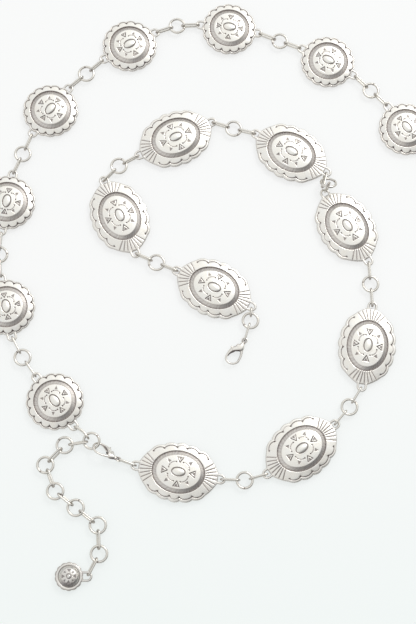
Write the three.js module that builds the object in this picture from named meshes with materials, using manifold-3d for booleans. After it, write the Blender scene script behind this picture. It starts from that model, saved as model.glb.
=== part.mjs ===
// Chain belt of domed, scalloped conchos, lying loosely coiled on a flat surface.
// A strand of round conchos ends in an extension chain with a drop, a strand of oval conchos ends in a
// lever clasp on both sides, and one of those clasps is hooked on the first ring of the extension chain.
// Millimetres, +Z up, z = 0 is the surface that it lies on, origin under the middle of its box.
import * as THREE from "three";
import { mergeVertices } from "three/addons/utils/BufferGeometryUtils.js";
import Module from "manifold-3d";

const wasm = await Module();
wasm.setup();

// ---------------------------------------------------------------- driving sizes
const MIDDLE = { x: 41.69, y: 192.62 }; // of the layout tables below, which becomes the origin
const LIE = 2.15; // height of the mid plane of rings, lugs and links
const RING = { radius: 4.15, wire: 0.7, steps: 12, sides: 6 };
const LINK = { reach: 9.8, rise: 1.55, wire: 0.6, sides: 6 }; // reach: between its end-wire centres
const SHORT_LINK_REACH = 4.65;
const LUG = { hole: 1.65, outer: 2.85, bottom: 1.5, top: 2.8, root: 2.4 };
const RING_END = 3.0; // end wire of a taut link from the ring's centre
const EXT_END = 2.58; // the same on the extension chain, where nothing touches
const SCALLOPS = 17;
const SCALLOP_TURN = -6; // degrees from the +X lug to the nearest cusp
const CLASP = { thick: 2.9, slot: 1.9, lever: 1.3, hook: 0.575, eyeHole: 1.1, eyeOuter: 2.1, eyeThick: 0.9 };
const PIVOT = { x: 4.6, y: -1.3, pin: 0.5, hole: 0.85, hub: 1.5 };
const GATE = { end: 7.9, nose: 8.25 }; // radii about the pivot

const SILVER = { color: 0xc9c6bf, roughness: 0.34, metalness: 1 };
const DARK_SILVER = { color: 0x8f8b84, roughness: 0.45, metalness: 1 };
const WIRE = { color: 0xbdbab4, roughness: 0.3, metalness: 1 };

// ---------------------------------------------------------------- tables
// Height of each ring of a concho's section. size: share of the outline (rim) or of the ellipse named in "of".
const SECTION = [
  { row: "boss edge", of: "boss", size: 1, z: 5.35, step: 2 },
  { row: "field edge", of: "field", size: 1, z: 4.7, step: 2 },
  { row: "band outer edge", of: "band", size: 1, z: 3.7, step: 2 },
  { row: "rim top", of: "rim", size: 1, z: 2.5, step: 1 },
  { row: "rim bottom", of: "rim", size: 1, z: 1.3, step: 1 },
  { row: "inside of rim", of: "rim", size: 0.91, z: 1.3, step: 2 },
  { row: "hollow", of: "field", size: 0.95, z: 3.35, step: 2 },
];
const TOP = 6.0;
const HOLLOW_TOP = 3.9;

const ROUND = {
  lug: 16.75,
  boss: { a: 3.6, b: 2.1 },
  field: { a: 9.0, b: 9.0 },
  band: { a: 11.5, b: 11.5 },
  peak: 15.6,
  cusp: 15.0,
};
const OVAL = {
  lug: 22.95,
  boss: { a: 3.9, b: 2.3 },
  field: { a: 11.95, b: 9.1 },
  band: { a: 14.31, b: 11.44 },
  quarter: [
    { at: "tip", x: 21.3, y: 2.8 },
    { at: "shoulder", x: 19.6, y: 5.7 },
    { at: "shoulder", x: 17.9, y: 8.0 },
    { at: "shoulder", x: 15.5, y: 10.6 },
    { at: "lobe", x: 12.3, y: 13.2 },
    { at: "cusp", x: 9.6, y: 13.35 },
    { at: "lobe", x: 6.2, y: 15.5 },
    { at: "cusp", x: 3.0, y: 14.9 },
  ],
  crown: { at: "lobe", x: 0, y: 16.0 },
};
const DROP = {
  lug: 9.45,
  scallops: 14,
  peak: 7.5,
  cusp: 7.1,
  rows: [
    { row: "dome", r: 2.6, z: 4.9, step: 2 },
    { row: "shoulder", r: 5.2, z: 3.9, step: 2 },
    { row: "rim top", share: 1, z: 2.6, step: 1 },
    { row: "rim bottom", share: 1, z: 1.0, step: 1 },
  ],
  top: 5.2,
};

// Conchos: centre and direction of lug 0; lug 1 is opposite.
const ROUNDS = [
  { name: "round_1", x: 145.71, y: 284.58, turn: 125.8 },
  { name: "round_2", x: 101.73, y: 324.91, turn: 151.9 },
  { name: "round_3", x: 44.9, y: 344.24, turn: 172.4 },
  { name: "round_4", x: -12.41, y: 332.53, turn: -149.7 },
  { name: "round_5", x: -56.51, y: 292.11, turn: -125.5 },
  { name: "round_6", x: -79.12, y: 237.29, turn: -98.7 },
  { name: "round_7", x: -77.45, y: 177.37, turn: 101.9 },
  { name: "round_8", x: -49.78, y: 125.57, turn: 128.1 },
];
// With an odd number of scallops the two ends differ; these are strung the other way round.
const OTHER_WAY = ["round_2", "round_3", "round_4", "round_6", "round_7"];
const OVALS = [
  { name: "oval_1", x: 16.73, y: 87.75, turn: 171.1 },
  { name: "oval_2", x: 82.87, y: 100.74, turn: -143.8 },
  { name: "oval_3", x: 119.99, y: 157.57, turn: -99.0 },
  { name: "oval_4", x: 110.27, y: 225.67, turn: 121.1 },
  { name: "oval_5", x: 79.77, y: 269.03, turn: 150.8 },
  { name: "oval_6", x: 14.28, y: 276.54, turn: -153.4 },
  { name: "oval_7", x: -16.58, y: 229.91, turn: 113.4 },
  { name: "oval_8", x: 35.97, y: 189.25, turn: 154.2 },
];
// A ring between two lugs, with a link to each of them.
const GAPS = [
  { name: "round_gap_1", x: 126.32, y: 307.72, from: ["round_1", 0], to: ["round_2", 1] },
  { name: "round_gap_2", x: 74.18, y: 337.27, from: ["round_2", 0], to: ["round_3", 1] },
  { name: "round_gap_3", x: 14.79, y: 345.57, from: ["round_3", 0], to: ["round_4", 1] },
  { name: "round_gap_4", x: -36.79, y: 314.88, from: ["round_4", 0], to: ["round_5", 1] },
  { name: "round_gap_5", x: -71.37, y: 265.96, from: ["round_5", 0], to: ["round_6", 1] },
  { name: "round_gap_6", x: -82.32, y: 207.22, from: ["round_6", 0], to: ["round_7", 0] },
  { name: "round_gap_7", x: -67.88, y: 149.55, from: ["round_7", 1], to: ["round_8", 0] },
  { name: "oval_gap_1", x: 52.25, y: 83.75, from: ["oval_1", 1], to: ["oval_2", 0] },
  { name: "oval_gap_2", x: 109.48, y: 123.77, from: ["oval_2", 1], to: ["oval_3", 0] },
  { name: "oval_gap_3", x: 122.92, y: 192.89, from: ["oval_3", 1], to: ["oval_4", 1] },
  { name: "oval_gap_5", x: 47.24, y: 283.11, from: ["oval_5", 0], to: ["oval_6", 1] },
  { name: "oval_gap_6", x: -17.46, y: 259.75, from: ["oval_6", 0], to: ["oval_7", 0] },
  { name: "oval_gap_7", x: 4.14, y: 203.74, from: ["oval_7", 1], to: ["oval_8", 0] },
];
// The one slack gap: the ring leans, one link lies on its side and the other stands up.
const SLACK = {
  name: "oval_gap_4",
  fineRing: { steps: 20, sides: 8, wire: 0.74 }, // rounder, so that the two links meet it
  fineLink: { sides: 8, wire: 0.63 },
  ring: { x: 100.309, y: 250.755, z: 4.564, nx: 0.0304, ny: 0.6272 },
  links: [
    { to: "oval_5", x: 98.172, y: 252.963, z: 2.908, yaw: -103.54, pitch: 13.76, roll: 198.43 },
    { to: "oval_4", x: 99.411, y: 247.706, z: 5.553, yaw: 81.96, pitch: 83.48, roll: -151.54 },
  ],
};
// Extension chain: rings in order; the first leans on the clasp that is hooked on it.
const EXTENSION = [
  { name: "ext_ring_1", x: -29.705, y: 104.31, z: 2.65, nx: -0.1297, ny: -0.1278 },
  { name: "ext_ring_2", x: -43.95, y: 101.97, z: LIE },
  { name: "ext_ring_3", x: -53.99, y: 91.34, z: LIE },
  { name: "ext_ring_4", x: -48.39, y: 77.47, z: LIE },
  { name: "ext_ring_5", x: -37.37, y: 68.78, z: LIE },
  { name: "ext_ring_6", x: -25.54, y: 59.65, z: LIE },
  { name: "ext_ring_7", x: -24.64, y: 44.77, z: LIE },
];
// Heights of the two ends of the first links; the others lie level.
const EXT_HEIGHTS = [[LIE, 2.5]];
const DROP_PLACE = { x: -40.06, y: 33.07, turn: -0.1 };
const END_RING = { x: 55.99, y: 171.3 };
const CLASP_1 = { x: -15.112, y: 94.48, z: 3.15, turn: 153.58, roll: 38.35, pitch: 3.07 };
const CLASP_2 = { x: 52.67, y: 160.2, z: LIE, turn: -120.4, roll: 0, pitch: 0 };
const FAR_END = { ringTurn: -57, ringReach: 13.4, claspTurn: -61, claspReach: 12.75 };

// Clasp side view, x from the eye along the clasp, -y on the side that opens.
const HOOK = [
  { x: 3.5, y: 1.3 }, { x: 6.0, y: 2.0 }, { x: 9.2, y: 2.75 }, { x: 12.2, y: 2.6 }, { x: 14.4, y: 1.0 },
  { x: 15.1, y: -1.2 }, { x: 14.6, y: -3.1 }, { x: 13.4, y: -4.1 }, { x: 12.3, y: -4.25 },
];
const CHEEKS = [
  { x: 1.0, y: 0.8 }, { x: 2.6, y: 1.3 }, { x: 4.4, y: 1.75 }, { x: 6.05, y: 1.95 }, { x: 6.3, y: 1.3 },
  { x: 6.9, y: -0.2 }, { x: 7.8, y: -1.6 }, { x: 8.3, y: -2.6 }, { x: 7.9, y: -3.7 }, { x: 6.6, y: -3.7 },
  { x: 4.6, y: -3.0 }, { x: 2.8, y: -1.9 }, { x: 1.0, y: -0.8 },
];
const LEVER = [
  { x: 5.6, y: -3.1 }, { x: 6.3, y: -4.7 }, { x: 7.1, y: -4.85 }, { x: 7.6, y: -4.3 }, { x: 9.5, y: -4.75 },
  { x: 11.73, y: -4.75 }, { x: 12.02, y: -4.0 }, { x: 12.27, y: -3.25 }, { x: 10.5, y: -3.3 },
  { x: 8.7, y: -2.5 }, { x: 7.2, y: -1.6 }, { x: 6.0, y: -0.4 },
];
const PLAIN_CLASP = [
  { x: 0.8, out: 1.4, open: 0 }, { x: 3.4, out: 2.2, open: 0 }, { x: 6.6, out: 3.2, open: 0.5 },
  { x: 9.4, out: 3.7, open: 2.3 }, { x: 12.4, out: 3.3, open: 2.0 }, { x: 14.6, out: 1.8, open: 0.3 },
];

// ---------------------------------------------------------------- helpers
const rad = THREE.MathUtils.degToRad;
const polar = (r, degrees) => [r * Math.cos(rad(degrees)), r * Math.sin(rad(degrees))];

// A closed three.js geometry as a solid, and back.
function solid(geometry) {
  const g = geometry.index ? geometry.toNonIndexed() : geometry.clone();
  g.deleteAttribute("normal");
  g.deleteAttribute("uv");
  const merged = mergeVertices(g, 1e-4);
  return new wasm.Manifold(
    new wasm.Mesh({
      numProp: 3,
      vertProperties: new Float32Array(merged.attributes.position.array),
      triVerts: new Uint32Array(merged.index.array),
    }),
  );
}
function geometryOf(body) {
  const m = body.getMesh();
  const g = new THREE.BufferGeometry();
  g.setAttribute("position", new THREE.BufferAttribute(new Float32Array(m.vertProperties), 3));
  g.setIndex(new THREE.BufferAttribute(new Uint32Array(m.triVerts), 1));
  g.computeVertexNormals();
  return g;
}
const joined = (first, ...rest) => rest.reduce((all, next) => all.add(next), first);

// A surface through closed rows of points, from a top point to a bottom point. A row may have half the
// points of the row next to it.
function loft(top, rows, bottom) {
  const at = [top];
  const starts = rows.map((row) => {
    const start = at.length;
    at.push(...row);
    return start;
  });
  at.push(bottom);
  const faces = [];
  const ring = (k, i) => starts[k] + (((i % rows[k].length) + rows[k].length) % rows[k].length);
  rows[0].forEach((_, i) => faces.push([0, ring(0, i), ring(0, i + 1)]));
  for (let k = 0; k + 1 < rows.length; k++) {
    const a = rows[k].length, b = rows[k + 1].length;
    if (a === b)
      for (let i = 0; i < a; i++) {
        faces.push([ring(k, i), ring(k + 1, i), ring(k + 1, i + 1)]);
        faces.push([ring(k, i), ring(k + 1, i + 1), ring(k, i + 1)]);
      }
    else if (b === 2 * a)
      for (let i = 0; i < a; i++) {
        faces.push([ring(k, i), ring(k + 1, 2 * i), ring(k + 1, 2 * i + 1)]);
        faces.push([ring(k, i), ring(k + 1, 2 * i + 1), ring(k, i + 1)]);
        faces.push([ring(k, i + 1), ring(k + 1, 2 * i + 1), ring(k + 1, 2 * i + 2)]);
      }
    else
      for (let i = 0; i < b; i++) {
        faces.push([ring(k, 2 * i), ring(k + 1, i), ring(k, 2 * i + 1)]);
        faces.push([ring(k, 2 * i + 1), ring(k + 1, i), ring(k + 1, i + 1)]);
        faces.push([ring(k, 2 * i + 1), ring(k + 1, i + 1), ring(k, 2 * i + 2)]);
      }
  }
  const last = rows.length - 1, end = at.length - 1;
  rows[last].forEach((_, i) => faces.push([ring(last, i), end, ring(last, i + 1)]));
  const g = new THREE.BufferGeometry();
  g.setAttribute("position", new THREE.BufferAttribute(new Float32Array(at.flat()), 3));
  g.setIndex(faces.flat());
  return g;
}

// Round wire along a closed flat path, in the XY plane, mitred at each point.
function wireLoop(path, wire, sides) {
  const n = path.length;
  const at = [], index = [];
  path.forEach((p, i) => {
    const before = path[(i + n - 1) % n], after = path[(i + 1) % n];
    const side = (a, b) => new THREE.Vector2(b.y - a.y, a.x - b.x).normalize();
    const s = side(before, p), t = side(p, after);
    const out = s.clone().add(t).normalize();
    const stretch = 1 / out.dot(t);
    for (let k = 0; k < sides; k++) {
      const [c, h] = polar(wire, (360 * k) / sides);
      at.push(p.x + out.x * c * stretch, p.y + out.y * c * stretch, h);
    }
  });
  for (let i = 0; i < n; i++)
    for (let k = 0; k < sides; k++) {
      const a = i * sides + k, b = i * sides + ((k + 1) % sides);
      const c = ((i + 1) % n) * sides + k, d = ((i + 1) % n) * sides + ((k + 1) % sides);
      index.push(a, d, b, a, c, d);
    }
  const g = new THREE.BufferGeometry();
  g.setAttribute("position", new THREE.BufferAttribute(new Float32Array(at), 3));
  g.setIndex(index);
  return g;
}
const ringWire = ({ steps, sides, wire } = RING) =>
  wireLoop(
    Array.from({ length: steps }, (_, i) => new THREE.Vector2(...polar(RING.radius, (360 * i) / steps))),
    wire,
    sides,
  );
// A long link: two straight sides and two half-round ends, in its own XY plane.
function linkWire(reach = LINK.reach, { wire, sides } = LINK) {
  const straight = reach / 2 - LINK.rise;
  const path = [];
  for (const [end, start] of [[1, -90], [-1, 90]])
    for (let k = 0; k < 5; k++) {
      const [x, y] = polar(LINK.rise, start + 45 * k);
      path.push(new THREE.Vector2(end * straight + x, y));
    }
  return wireLoop(path, wire, sides);
}

// The turn that takes +X to a direction and +Y to the link's rise. roll 0 stands it on edge.
function standing(u, roll = 0) {
  const w = new THREE.Vector3(-u.y, u.x, 0).normalize();
  const v = new THREE.Vector3().crossVectors(u, w);
  const rise = v.multiplyScalar(Math.cos(rad(roll))).addScaledVector(w, Math.sin(rad(roll)));
  return new THREE.Matrix4().makeBasis(u, rise, new THREE.Vector3().crossVectors(u, rise));
}

const group = new THREE.Group();
group.name = "chain_belt";
const laid = new THREE.Group();
laid.position.set(-MIDDLE.x, -MIDDLE.y, 0);
group.add(laid);

function place(name, geometry, finish, position, turn = null) {
  const mesh = new THREE.Mesh(geometry, new THREE.MeshStandardMaterial(finish));
  mesh.name = name;
  mesh.position.copy(position);
  if (turn) mesh.quaternion.setFromRotationMatrix(turn);
  laid.add(mesh);
  return mesh;
}
const V = (x, y, z = 0) => new THREE.Vector3(x, y, z);

// ---------------------------------------------------------------- conchos
function roundOutline(peak, cusp, count, firstCusp) {
  return Array.from({ length: 2 * count }, (_, k) => polar(k % 2 ? peak : cusp, firstCusp + (180 * k) / count));
}
function ovalOutline() {
  const q = OVAL.quarter.map(({ x, y }) => [x, y]);
  const half = [...q, [0, OVAL.crown.y], ...q.map(([x, y]) => [-x, y]).reverse()];
  return [...half, ...half.map(([x, y]) => [-x, -y])];
}
function concho(kind, outline) {
  const rx = kind.band.a / kind.band.b;
  const row = ({ of, size, z, step }) =>
    outline
      .filter((_, i) => i % step === 0)
      .map(([x, y]) => {
        if (of === "rim") return [x * size, y * size, z];
        const t = Math.atan2(y * rx, x);
        return [kind[of].a * size * Math.cos(t), kind[of].b * size * Math.sin(t), z];
      });
  let body = solid(loft([0, 0, TOP], SECTION.map(row), [0, 0, HOLLOW_TOP]));
  for (const side of [1, -1]) body = lugged(body, kind.lug, side);
  return geometryOf(body);
}
// A flat lug with a round hole, joined to the rim.
function lugged(body, reach, side) {
  const tab = new THREE.Shape();
  tab.moveTo(-LUG.root, -LUG.outer);
  for (let k = 0; k <= 6; k++) tab.lineTo(...polar(LUG.outer, -90 + 30 * k));
  tab.lineTo(-LUG.root, LUG.outer);
  tab.closePath();
  const plate = new THREE.ExtrudeGeometry(tab, { depth: LUG.top - LUG.bottom, bevelEnabled: false });
  plate.translate(reach, 0, LUG.bottom);
  const hole = new THREE.CylinderGeometry(LUG.hole, LUG.hole, 9, 10);
  hole.rotateX(Math.PI / 2);
  hole.translate(reach, 0, LIE);
  if (side < 0) for (const g of [plate, hole]) g.rotateZ(Math.PI);
  return body.add(solid(plate)).subtract(solid(hole));
}
const roundGeometry = concho(ROUND, roundOutline(ROUND.peak, ROUND.cusp, SCALLOPS, SCALLOP_TURN));
const ovalGeometry = concho(OVAL, ovalOutline());

const lugAt = new Map(); // name and lug number to its centre
for (const [list, kind, geometry] of [[ROUNDS, ROUND, roundGeometry], [OVALS, OVAL, ovalGeometry]])
  for (const { name, x, y, turn } of list) {
    const mesh = place(name, geometry, SILVER, V(x, y));
    mesh.rotation.z = rad(turn + (OTHER_WAY.includes(name) ? 0 : 180));
    for (const lug of [0, 1]) {
      const [dx, dy] = polar(kind.lug, turn + 180 * lug);
      lugAt.set(name + lug, V(x + dx, y + dy, LIE));
    }
  }

// ---------------------------------------------------------------- rings with their two links
function ringWithLinks(directions) {
  const links = directions.map((u) => {
    const g = linkWire();
    g.applyMatrix4(standing(u));
    g.translate(...u.clone().multiplyScalar(RING_END + LINK.reach / 2).toArray());
    return solid(g);
  });
  return geometryOf(joined(solid(ringWire()), ...links));
}
for (const { name, x, y, from, to } of GAPS) {
  const middle = V(x, y, LIE);
  const directions = [from, to].map(([node, lug]) => lugAt.get(node + lug).clone().sub(middle).normalize());
  place(name, ringWithLinks(directions), WIRE, middle);
}
{
  const { ring, links } = SLACK;
  const middle = V(ring.x, ring.y, ring.z);
  const normal = V(ring.nx, ring.ny, Math.sqrt(1 - ring.nx ** 2 - ring.ny ** 2));
  const leaning = ringWire(SLACK.fineRing);
  leaning.applyQuaternion(new THREE.Quaternion().setFromUnitVectors(V(0, 0, 1), normal));
  const loose = links.map(({ x, y, z, yaw, pitch, roll }) => {
    const [c, s] = polar(Math.cos(rad(pitch)), yaw);
    const g = linkWire(LINK.reach, SLACK.fineLink);
    g.applyMatrix4(standing(V(c, s, Math.sin(rad(pitch))), roll));
    g.translate(x - ring.x, y - ring.y, z - ring.z);
    return solid(g);
  });
  place(SLACK.name, geometryOf(joined(solid(leaning), ...loose)), WIRE, middle);
}

// A link from one end-wire centre to the other.
function link(name, a, b, roll = 0) {
  const u = b.clone().sub(a);
  const middle = a.clone().add(b).multiplyScalar(0.5);
  place(name, linkWire(u.length()), WIRE, middle, standing(u.normalize(), roll));
}
// Both end-wire centres of a link on the line between two eyes. slack: how far its first end lies from the
// first eye's centre; heights: of its two ends.
function onLine(p, q, slack, heights = [LIE, LIE], reach = LINK.reach) {
  const run = Math.sqrt(reach ** 2 - (heights[1] - heights[0]) ** 2);
  const u = V(q.x - p.x, q.y - p.y).normalize();
  return [V(p.x + u.x * slack, p.y + u.y * slack, heights[0]), V(p.x + u.x * (slack + run), p.y + u.y * (slack + run), heights[1])];
}

// ---------------------------------------------------------------- extension chain and drop
for (const { name, x, y, z, nx = 0, ny = 0 } of EXTENSION) {
  const wire = ringWire();
  wire.applyQuaternion(new THREE.Quaternion().setFromUnitVectors(V(0, 0, 1), V(nx, ny, Math.sqrt(1 - nx ** 2 - ny ** 2))));
  place(name, geometryOf(solid(wire)), WIRE, V(x, y, z));
}
const ext = EXTENSION.map(({ x, y, z }) => V(x, y, z));
const middleSlack = (p, q) => (Math.hypot(q.x - p.x, q.y - p.y) - LINK.reach) / 2;
link("ext_link_0", ...onLine(lugAt.get("round_81"), ext[0], 0.7, EXT_HEIGHTS[0]));
for (let i = 0; i + 1 < ext.length; i++)
  link("ext_link_" + (i + 1), ...onLine(ext[i], ext[i + 1], middleSlack(ext[i], ext[i + 1]), EXT_HEIGHTS[i + 1]));

const dropLug = V(DROP_PLACE.x + polar(DROP.lug, DROP_PLACE.turn)[0], DROP_PLACE.y + polar(DROP.lug, DROP_PLACE.turn)[1], LIE);
{
  const outline = roundOutline(DROP.peak, DROP.cusp, DROP.scallops, 0);
  const rows = DROP.rows.map(({ r, share, z, step }) =>
    outline
      .filter((_, i) => i % step === 0)
      .map(([x, y]) => (share ? [x * share, y * share, z] : [...polar(r, THREE.MathUtils.radToDeg(Math.atan2(y, x))), z])),
  );
  const body = lugged(solid(loft([0, 0, DROP.top], rows, [0, 0, DROP.rows.at(-1).z])), DROP.lug, 1);
  const mesh = place("drop", geometryOf(body), DARK_SILVER, V(DROP_PLACE.x, DROP_PLACE.y));
  mesh.rotation.z = rad(DROP_PLACE.turn);
}
link("ext_link_7", ...onLine(ext[6], dropLug, EXT_END));

// ---------------------------------------------------------------- clasps
function outlineShape(points) {
  const shape = new THREE.Shape(points.map(({ x, y }) => new THREE.Vector2(x, y)));
  return shape;
}
function slab(shape, thick, lift = 0) {
  const g = new THREE.ExtrudeGeometry(shape, { depth: thick, bevelEnabled: false, curveSegments: 12 });
  g.translate(0, 0, lift - thick / 2);
  return solid(g);
}
function disc(x, y, radius, thick, segments) {
  const g = new THREE.CylinderGeometry(radius, radius, thick, segments);
  g.rotateX(Math.PI / 2);
  g.translate(x, y, 0);
  return solid(g);
}
function clasp_body() {
  const block = new THREE.BoxGeometry(10, 6, CLASP.slot);
  block.translate(2.7 + 5, 0.6 - 3, 0);
  const cheeks = slab(outlineShape(CHEEKS), CLASP.thick).subtract(solid(block));
  const pin = disc(PIVOT.x, PIVOT.y, PIVOT.pin, CLASP.thick - 0.4, 8);
  const eye = disc(0, 0, CLASP.eyeOuter, CLASP.eyeThick, 12);
  const wire = new THREE.Shape(Array.from({ length: 6 }, (_, k) => new THREE.Vector2(...polar(CLASP.hook, 60 * k))));
  const route = new THREE.CatmullRomCurve3(HOOK.map(({ x, y }) => V(x, y)), false, "centripetal");
  const hook = solid(new THREE.ExtrudeGeometry(wire, { extrudePath: route, steps: 14, bevelEnabled: false }));
  const sector = new THREE.Shape([
    new THREE.Vector2(PIVOT.x, PIVOT.y),
    ...[-6, -12, -18, -24, -30, -36, -42].map((t) => {
      const [x, y] = polar(GATE.nose, t);
      return new THREE.Vector2(PIVOT.x + x, PIVOT.y + y);
    }),
  ]);
  const body = joined(cheeks, pin, eye, hook.subtract(slab(sector, 4)));
  return geometryOf(body.subtract(disc(0, 0, CLASP.eyeHole, 5, 10)));
}
function clasp_lever() {
  const arm = slab(outlineShape(LEVER), CLASP.lever);
  const hub = disc(PIVOT.x, PIVOT.y, PIVOT.hub, CLASP.lever, 14);
  return geometryOf(arm.add(hub).subtract(disc(PIVOT.x, PIVOT.y, PIVOT.hole, 3, 10)));
}
function plain_clasp() {
  const side = (rows, key, sign) => rows.map((row) => new THREE.Vector2(row.x, sign * row[key]));
  const around = (rows, key) => new THREE.Shape([...side(rows, key, -1), ...side(rows, key, 1).reverse()]);
  const opening = PLAIN_CLASP.filter((row) => row.open > 0);
  const plate = slab(around(PLAIN_CLASP, "out"), 2.0).subtract(slab(around(opening, "open"), 4));
  return geometryOf(plate.add(disc(0, 0, CLASP.eyeOuter, CLASP.eyeThick, 12)).subtract(disc(0, 0, CLASP.eyeHole, 5, 10)));
}
// The clasp's own XY plane, turned to its direction and rolled about it: the opening side goes down.
const claspTurn = ({ turn, roll, pitch }) =>
  new THREE.Matrix4()
    .makeRotationZ(rad(turn))
    .multiply(new THREE.Matrix4().makeRotationY(rad(-pitch)))
    .multiply(new THREE.Matrix4().makeRotationX(rad(roll)));
for (const [key, at] of [["clasp_1", CLASP_1], ["clasp_2", CLASP_2]]) {
  place(key + "_body", clasp_body(), SILVER, V(at.x, at.y, at.z), claspTurn(at));
  place(key + "_lever", clasp_lever(), WIRE, V(at.x, at.y, at.z), claspTurn(at));
}
link("clasp_1_link", ...onLine(lugAt.get("oval_10"), V(CLASP_1.x, CLASP_1.y), 0, [2.11, 2.9]), -16);
const endRing = V(END_RING.x, END_RING.y, LIE);
const ovalEnd = lugAt.get("oval_81");
link("oval_end_link", ...onLine(ovalEnd, endRing, 0.77, [LIE, LIE], SHORT_LINK_REACH));
place("oval_end_ring", geometryOf(solid(ringWire())), WIRE, endRing);
link("oval_end_connector", ...onLine(endRing, V(CLASP_2.x, CLASP_2.y), 1.8));

// Beyond the last round concho: a ring with two links and a plain clasp.
{
  const start = lugAt.get("round_11");
  const middle = start.clone().add(V(...polar(FAR_END.ringReach, FAR_END.ringTurn)));
  const along = V(...polar(1, FAR_END.claspTurn));
  place("round_end_gap", ringWithLinks([start.clone().sub(middle).normalize(), along]), WIRE, middle);
  const eye = middle.clone().addScaledVector(along, FAR_END.claspReach);
  place("end_clasp", plain_clasp(), SILVER, eye, claspTurn({ turn: FAR_END.claspTurn, roll: 0, pitch: 0 }));
}

export default group;
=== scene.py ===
import math

import bmesh
import bpy
import numpy as np
from mathutils import Matrix, Vector


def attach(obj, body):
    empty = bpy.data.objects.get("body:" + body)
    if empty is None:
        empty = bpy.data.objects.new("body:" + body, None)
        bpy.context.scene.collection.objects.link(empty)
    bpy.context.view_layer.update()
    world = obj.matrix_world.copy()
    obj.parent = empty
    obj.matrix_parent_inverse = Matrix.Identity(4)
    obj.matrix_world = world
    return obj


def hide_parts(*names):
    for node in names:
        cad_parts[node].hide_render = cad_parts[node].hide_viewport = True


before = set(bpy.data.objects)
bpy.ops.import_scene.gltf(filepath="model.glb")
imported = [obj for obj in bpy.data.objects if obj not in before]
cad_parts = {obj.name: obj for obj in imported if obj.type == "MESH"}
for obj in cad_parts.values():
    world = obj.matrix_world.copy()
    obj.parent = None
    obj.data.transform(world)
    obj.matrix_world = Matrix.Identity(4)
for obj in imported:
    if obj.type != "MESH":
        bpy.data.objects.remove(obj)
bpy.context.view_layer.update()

# Looks of a chain belt of domed, scalloped conchos that lies coiled on a pale floor.
# Sizes in the tables are millimetres in the layout's own axes; MIDDLE takes them to the frame.
MM = 0.001
MIDDLE = (41.69, 192.62)

# ------------------------------------------------------------------ camera
# Focal length for a 624 pixel tall picture on a 36 mm sensor; camera axes are the columns.
LENS = 79.27
CAMERA_AT = (-MIDDLE[0], -MIDDLE[1], 734.97)
CAMERA_X = (0.99900986, 0.0, 0.0444893)
CAMERA_Y = (-0.01037743, 0.97241519, 0.23302576)
CAMERA_Z = (-0.04326207, -0.23325672, 0.97145236)

cam = bpy.data.objects.new("camera", bpy.data.cameras.new("camera"))
bpy.context.scene.collection.objects.link(cam)
cam.data.sensor_width = 36.0
cam.data.lens = LENS
cam.data.clip_start = 0.01
cam.data.clip_end = 20.0
cam.matrix_world = Matrix((
    (CAMERA_X[0], CAMERA_Y[0], CAMERA_Z[0], CAMERA_AT[0] * MM),
    (CAMERA_X[1], CAMERA_Y[1], CAMERA_Z[1], CAMERA_AT[1] * MM),
    (CAMERA_X[2], CAMERA_Y[2], CAMERA_Z[2], CAMERA_AT[2] * MM),
    (0, 0, 0, 1)))
bpy.context.scene.camera = cam
bpy.context.scene.view_settings.view_transform = "Standard"

# ------------------------------------------------------------------ layout tables, as in the part
LIE = 2.15
LUG_ROUND, LUG_OVAL = 16.75, 22.95
ROUNDS = [  # name, x, y, direction of lug 0
    ("round_1", 145.71, 284.58, 125.8), ("round_2", 101.73, 324.91, 151.9),
    ("round_3", 44.9, 344.24, 172.4), ("round_4", -12.41, 332.53, -149.7),
    ("round_5", -56.51, 292.11, -125.5), ("round_6", -79.12, 237.29, -98.7),
    ("round_7", -77.45, 177.37, 101.9), ("round_8", -49.78, 125.57, 128.1)]
OTHER_WAY = ("round_2", "round_3", "round_4", "round_6", "round_7")  # strung with the odd scallop at the other end
OVALS = [
    ("oval_1", 16.73, 87.75, 171.1), ("oval_2", 82.87, 100.74, -143.8),
    ("oval_3", 119.99, 157.57, -99.0), ("oval_4", 110.27, 225.67, 121.1),
    ("oval_5", 79.77, 269.03, 150.8), ("oval_6", 14.28, 276.54, -153.4),
    ("oval_7", -16.58, 229.91, 113.4), ("oval_8", 35.97, 189.25, 154.2)]
GAPS = [  # name, ring x, ring y, the lug on each side
    ("round_gap_1", 126.32, 307.72, ("round_1", 0), ("round_2", 1)),
    ("round_gap_2", 74.18, 337.27, ("round_2", 0), ("round_3", 1)),
    ("round_gap_3", 14.79, 345.57, ("round_3", 0), ("round_4", 1)),
    ("round_gap_4", -36.79, 314.88, ("round_4", 0), ("round_5", 1)),
    ("round_gap_5", -71.37, 265.96, ("round_5", 0), ("round_6", 1)),
    ("round_gap_6", -82.32, 207.22, ("round_6", 0), ("round_7", 0)),
    ("round_gap_7", -67.88, 149.55, ("round_7", 1), ("round_8", 0)),
    ("oval_gap_1", 52.25, 83.75, ("oval_1", 1), ("oval_2", 0)),
    ("oval_gap_2", 109.48, 123.77, ("oval_2", 1), ("oval_3", 0)),
    ("oval_gap_3", 122.92, 192.89, ("oval_3", 1), ("oval_4", 1)),
    ("oval_gap_5", 47.24, 283.11, ("oval_5", 0), ("oval_6", 1)),
    ("oval_gap_6", -17.46, 259.75, ("oval_6", 0), ("oval_7", 0)),
    ("oval_gap_7", 4.14, 203.74, ("oval_7", 1), ("oval_8", 0))]
SLACK_RING = (100.309, 250.755, 4.564, 0.0304, 0.6272)
SLACK_LINKS = [  # x, y, z, yaw, pitch, roll
    (98.172, 252.963, 2.908, -103.54, 13.76, 198.43),
    (99.411, 247.706, 5.553, 81.96, 83.48, -151.54)]
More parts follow.
